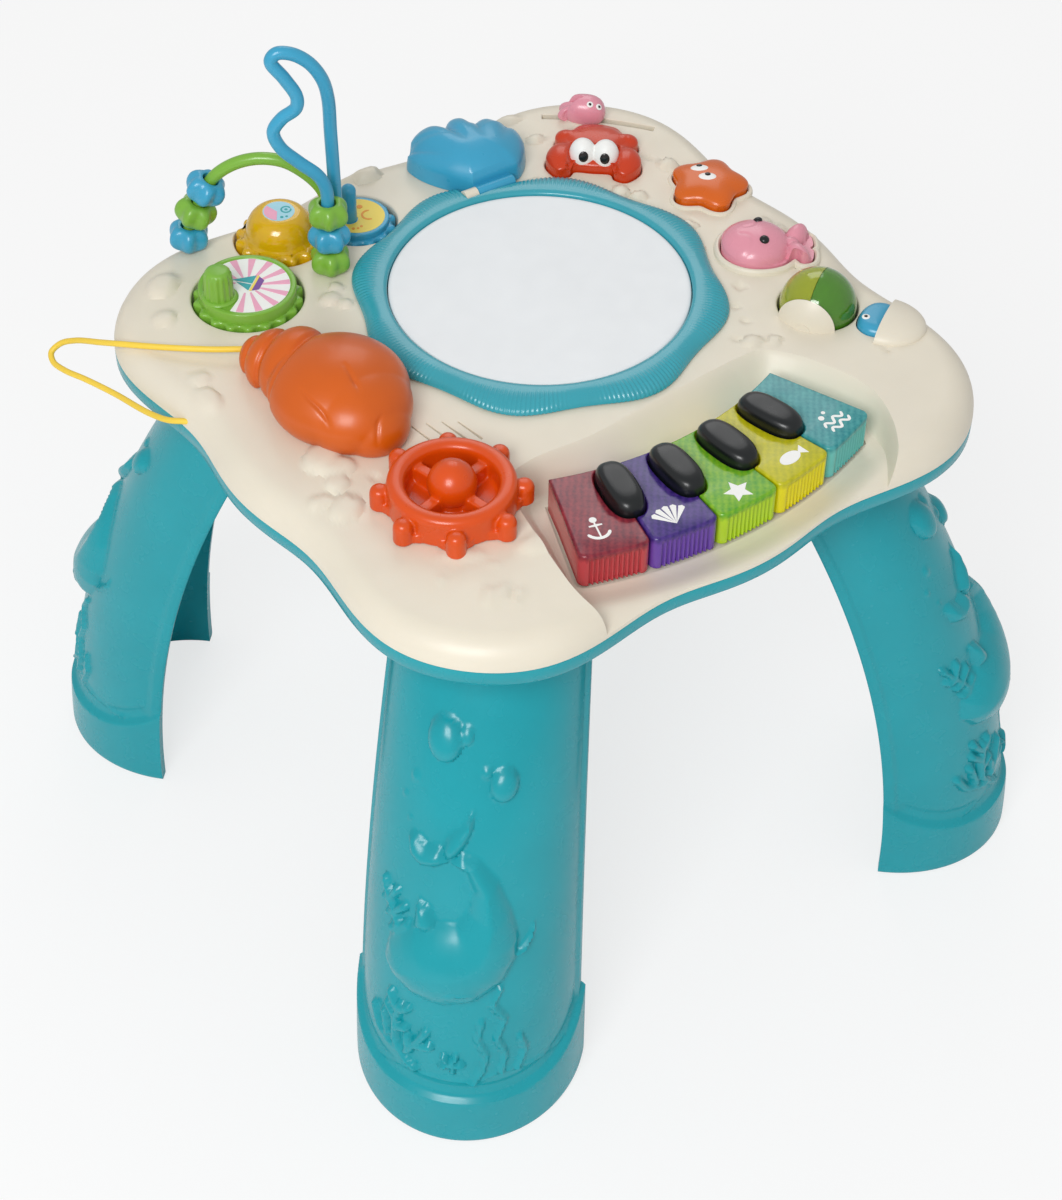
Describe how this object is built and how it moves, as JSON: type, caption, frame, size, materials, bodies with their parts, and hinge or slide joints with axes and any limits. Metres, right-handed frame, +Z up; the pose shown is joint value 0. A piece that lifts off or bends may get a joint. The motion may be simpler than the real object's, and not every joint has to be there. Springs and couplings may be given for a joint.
{
  "type": "musical activity table",
  "caption": "Toddler musical activity table with drum, piano keys, steering wheel, gears, bead wires, shell handset and push buttons on a cream top with teal legs",
  "frame": {"origin": "on the floor, under the middle of the table", "axes": "+Z up from the floor, -Y towards the side with the piano keys, -X towards the shell handset"},
  "size_m": [0.433, 0.433, 0.4533],
  "materials": {
    "cream_shell": "satin moulded plastic",
    "teal_shell": "satin moulded plastic",
    "ring_teal": "glossy moulded plastic with fine ribs",
    "pad_white": "smooth matt plastic",
    "red_orange": "glossy moulded plastic",
    "shell_orange": "satin moulded plastic",
    "leaf_green": "glossy moulded plastic",
    "sky_blue": "glossy moulded plastic",
    "clear_yellow": "translucent plastic",
    "clear_green": "translucent plastic",
    "clear_lime": "translucent plastic",
    "crab_red": "glossy moulded plastic",
    "star_orange": "glossy moulded plastic",
    "pink": "glossy moulded plastic",
    "key_black": "glossy black plastic",
    "key_maroon": "translucent plastic",
    "key_purple": "translucent plastic",
    "key_green": "translucent plastic",
    "key_yellow": "translucent plastic",
    "key_teal": "translucent plastic",
    "cord_yellow": "flexible plastic cord",
    "steel": "plain steel",
    "board_green": "circuit board",
    "cell_grey": "plain battery sleeve",
    "speaker_grey": "speaker with paper cone"
  },
  "bodies": {
    "table": {"tabletop_shell": "cream_shell", "base_tray": "teal_shell", "leg_back_right": "teal_shell", "leg_back_left": "teal_shell", "leg_front_left": "teal_shell", "leg_front_right": "teal_shell", "drum_ring": "ring_teal", "wheel_screw": "steel", "green_wire": "leaf_green", "blue_wire": "sky_blue", "lid_pin": "steel", "ball_axle": "steel", "fish_screw": "steel", "handset_cord": "cord_yellow", "speaker": "speaker_grey", "circuit_board": "board_green", "battery_cell_1": "cell_grey", "battery_cell_2": "cell_grey", "battery_cell_3": "cell_grey", "battery_door": "teal_shell", "shell_screw_1": "steel", "shell_screw_2": "steel", "shell_screw_3": "steel", "shell_screw_4": "steel"},
    "drum": {"drum_pad": "pad_white"},
    "wheel": {"steering_wheel": "red_orange"},
    "handset": {"conch_handset": "shell_orange"},
    "key_maroon": {"key_maroon": "key_maroon"},
    "key_purple": {"key_purple": "key_purple"},
    "key_green": {"key_green": "key_green"},
    "key_yellow": {"key_yellow": "key_yellow"},
    "key_teal": {"key_teal": "key_teal"},
    "black_key_1": {"black_key_1": "key_black"},
    "black_key_2": {"black_key_2": "key_black"},
    "black_key_3": {"black_key_3": "key_black"},
    "black_key_4": {"black_key_4": "key_black"},
    "crab_button": {"crab_button": "crab_red"},
    "star_button": {"star_button": "star_orange"},
    "whale_button": {"whale_button": "pink"},
    "slider": {"slider_figure": "pink"},
    "fish": {"fish_flap": "sky_blue"},
    "ball": {"ball_half_yellow": "clear_lime", "ball_half_green": "clear_green"},
    "green_gear": {"green_gear": "leaf_green"},
    "yellow_gear": {"yellow_gear": "clear_yellow"},
    "blue_gear": {"blue_gear": "sky_blue"},
    "lid": {"shell_lid": "sky_blue"},
    "left_bead_bottom": {"left_bead_bottom": "sky_blue"},
    "left_bead_middle": {"left_bead_middle": "leaf_green"},
    "left_bead_top": {"left_bead_top": "sky_blue"},
    "right_bead_bottom": {"right_bead_bottom": "leaf_green"},
    "right_bead_middle": {"right_bead_middle": "sky_blue"},
    "right_bead_top": {"right_bead_top": "leaf_green"},
    "switch": {"power_switch": "key_black"}
  },
  "joints": [
    {"name": "drum_press", "type": "slide", "parent": "table", "child": "drum", "axis": [0, 0, -1], "range_m": [0, 0.002], "stiffness_N_per_m": 2000},
    {"name": "wheel_turn", "type": "hinge", "parent": "table", "child": "wheel", "pos_m": [-0.108, -0.075, 0.3288], "axis": [0, 0, 1], "continuous": true},
    {"name": "handset_lift", "type": "slide", "parent": "table", "child": "handset", "axis": [0, 0, 1], "range_m": [0, 0.06]},
    {"name": "key_maroon_press", "type": "hinge", "parent": "table", "child": "key_maroon", "pos_m": [-0.04762, -0.09485, 0.2984], "axis": [0.9553, -0.2957, 0], "range_deg": [0, 1.8], "stiffness_Nm_per_rad": 4},
    {"name": "key_purple_press", "type": "hinge", "parent": "table", "child": "key_purple", "pos_m": [-0.01934, -0.10132, 0.2984], "axis": [0.9888, -0.1495, 0], "range_deg": [0, 1.8], "stiffness_Nm_per_rad": 4},
    {"name": "key_green_press", "type": "hinge", "parent": "table", "child": "key_green", "pos_m": [0.0096, -0.1035, 0.2984], "axis": [1, 0, 0], "range_deg": [0, 1.8], "stiffness_Nm_per_rad": 4},
    {"name": "key_yellow_press", "type": "hinge", "parent": "table", "child": "key_yellow", "pos_m": [0.03854, -0.10132, 0.2984], "axis": [0.9888, 0.1495, 0], "range_deg": [0, 1.8], "stiffness_Nm_per_rad": 4},
    {"name": "key_teal_press", "type": "hinge", "parent": "table", "child": "key_teal", "pos_m": [0.06682, -0.09485, 0.2984], "axis": [0.9553, 0.2957, 0], "range_deg": [0, 1.8], "stiffness_Nm_per_rad": 4},
    {"name": "black_key_1_press", "type": "slide", "parent": "table", "child": "black_key_1", "axis": [0, 0, -1], "range_m": [0, 0.002], "stiffness_N_per_m": 800},
    {"name": "black_key_2_press", "type": "slide", "parent": "table", "child": "black_key_2", "axis": [0, 0, -1], "range_m": [0, 0.002], "stiffness_N_per_m": 800},
    {"name": "black_key_3_press", "type": "slide", "parent": "table", "child": "black_key_3", "axis": [0, 0, -1], "range_m": [0, 0.002], "stiffness_N_per_m": 800},
    {"name": "black_key_4_press", "type": "slide", "parent": "table", "child": "black_key_4", "axis": [0, 0, -1], "range_m": [0, 0.002], "stiffness_N_per_m": 800},
    {"name": "crab_button_press", "type": "slide", "parent": "table", "child": "crab_button", "axis": [0, 0, -1], "range_m": [0, 0.002], "stiffness_N_per_m": 800},
    {"name": "star_button_press", "type": "slide", "parent": "table", "child": "star_button", "axis": [0, 0, -1], "range_m": [0, 0.002], "stiffness_N_per_m": 800},
    {"name": "whale_button_press", "type": "slide", "parent": "table", "child": "whale_button", "axis": [0, 0, -1], "range_m": [0, 0.002], "stiffness_N_per_m": 800},
    {"name": "slider_move", "type": "hinge", "parent": "table", "child": "slider", "pos_m": [0, 0, 0.3168], "axis": [0, 0, 1], "range_deg": [-10.4, 5.4]},
    {"name": "fish_turn", "type": "hinge", "parent": "table", "child": "fish", "pos_m": [0.14566, -0.10539, 0.3128], "axis": [0, 0, -1], "range_deg": [0, 12]},
    {"name": "ball_roll", "type": "hinge", "parent": "table", "child": "ball", "pos_m": [0.1382, -0.0603, 0.3168], "axis": [0.8712, 0.4909, 0], "continuous": true},
    {"name": "green_gear_turn", "type": "hinge", "parent": "table", "child": "green_gear", "pos_m": [-0.104, 0.1195, 0.3108], "axis": [0, 0, 1], "continuous": true},
    {"name": "yellow_gear_turn", "type": "hinge", "parent": "table", "child": "yellow_gear", "pos_m": [-0.06332, 0.15186, 0.3108], "axis": [0, 0, 1], "continuous": true},
    {"name": "blue_gear_turn", "type": "hinge", "parent": "table", "child": "blue_gear", "pos_m": [-0.02053, 0.14119, 0.3108], "axis": [0, 0, 1], "continuous": true},
    {"name": "lid_open", "type": "hinge", "parent": "table", "child": "lid", "pos_m": [0.056, 0.1185, 0.321], "axis": [0.9981, -0.0611, 0], "range_deg": [0, 95]},
    {"name": "left_bead_bottom_slide", "type": "slide", "parent": "table", "child": "left_bead_bottom", "axis": [0.0933, -0.0713, 0.9931], "range_m": [0, 0.001]},
    {"name": "left_bead_middle_slide", "type": "slide", "parent": "table", "child": "left_bead_middle", "axis": [0.2781, -0.2124, 0.9368], "range_m": [0, 0.001]},
    {"name": "left_bead_top_slide", "type": "slide", "parent": "table", "child": "left_bead_top", "axis": [0.3739, -0.2855, 0.8824], "range_m": [0, 0.0025]},
    {"name": "right_bead_bottom_slide", "type": "slide", "parent": "table", "child": "right_bead_bottom", "axis": [0, 0, 1], "range_m": [0, 0.001]},
    {"name": "right_bead_middle_slide", "type": "slide", "parent": "table", "child": "right_bead_middle", "axis": [0, 0, 1], "range_m": [0, 0.001]},
    {"name": "right_bead_top_slide", "type": "slide", "parent": "table", "child": "right_bead_top", "axis": [0, 0, 1], "range_m": [0, 0.003]},
    {"name": "switch_slide", "type": "slide", "parent": "table", "child": "switch", "axis": [1, 0, 0], "range_m": [0, 0.004]}
  ],
  "couplings": [
    {"joint": "yellow_gear_turn", "follows": "green_gear_turn", "ratio": -1.2},
    {"joint": "blue_gear_turn", "follows": "green_gear_turn", "ratio": 1.3846}
  ]
}
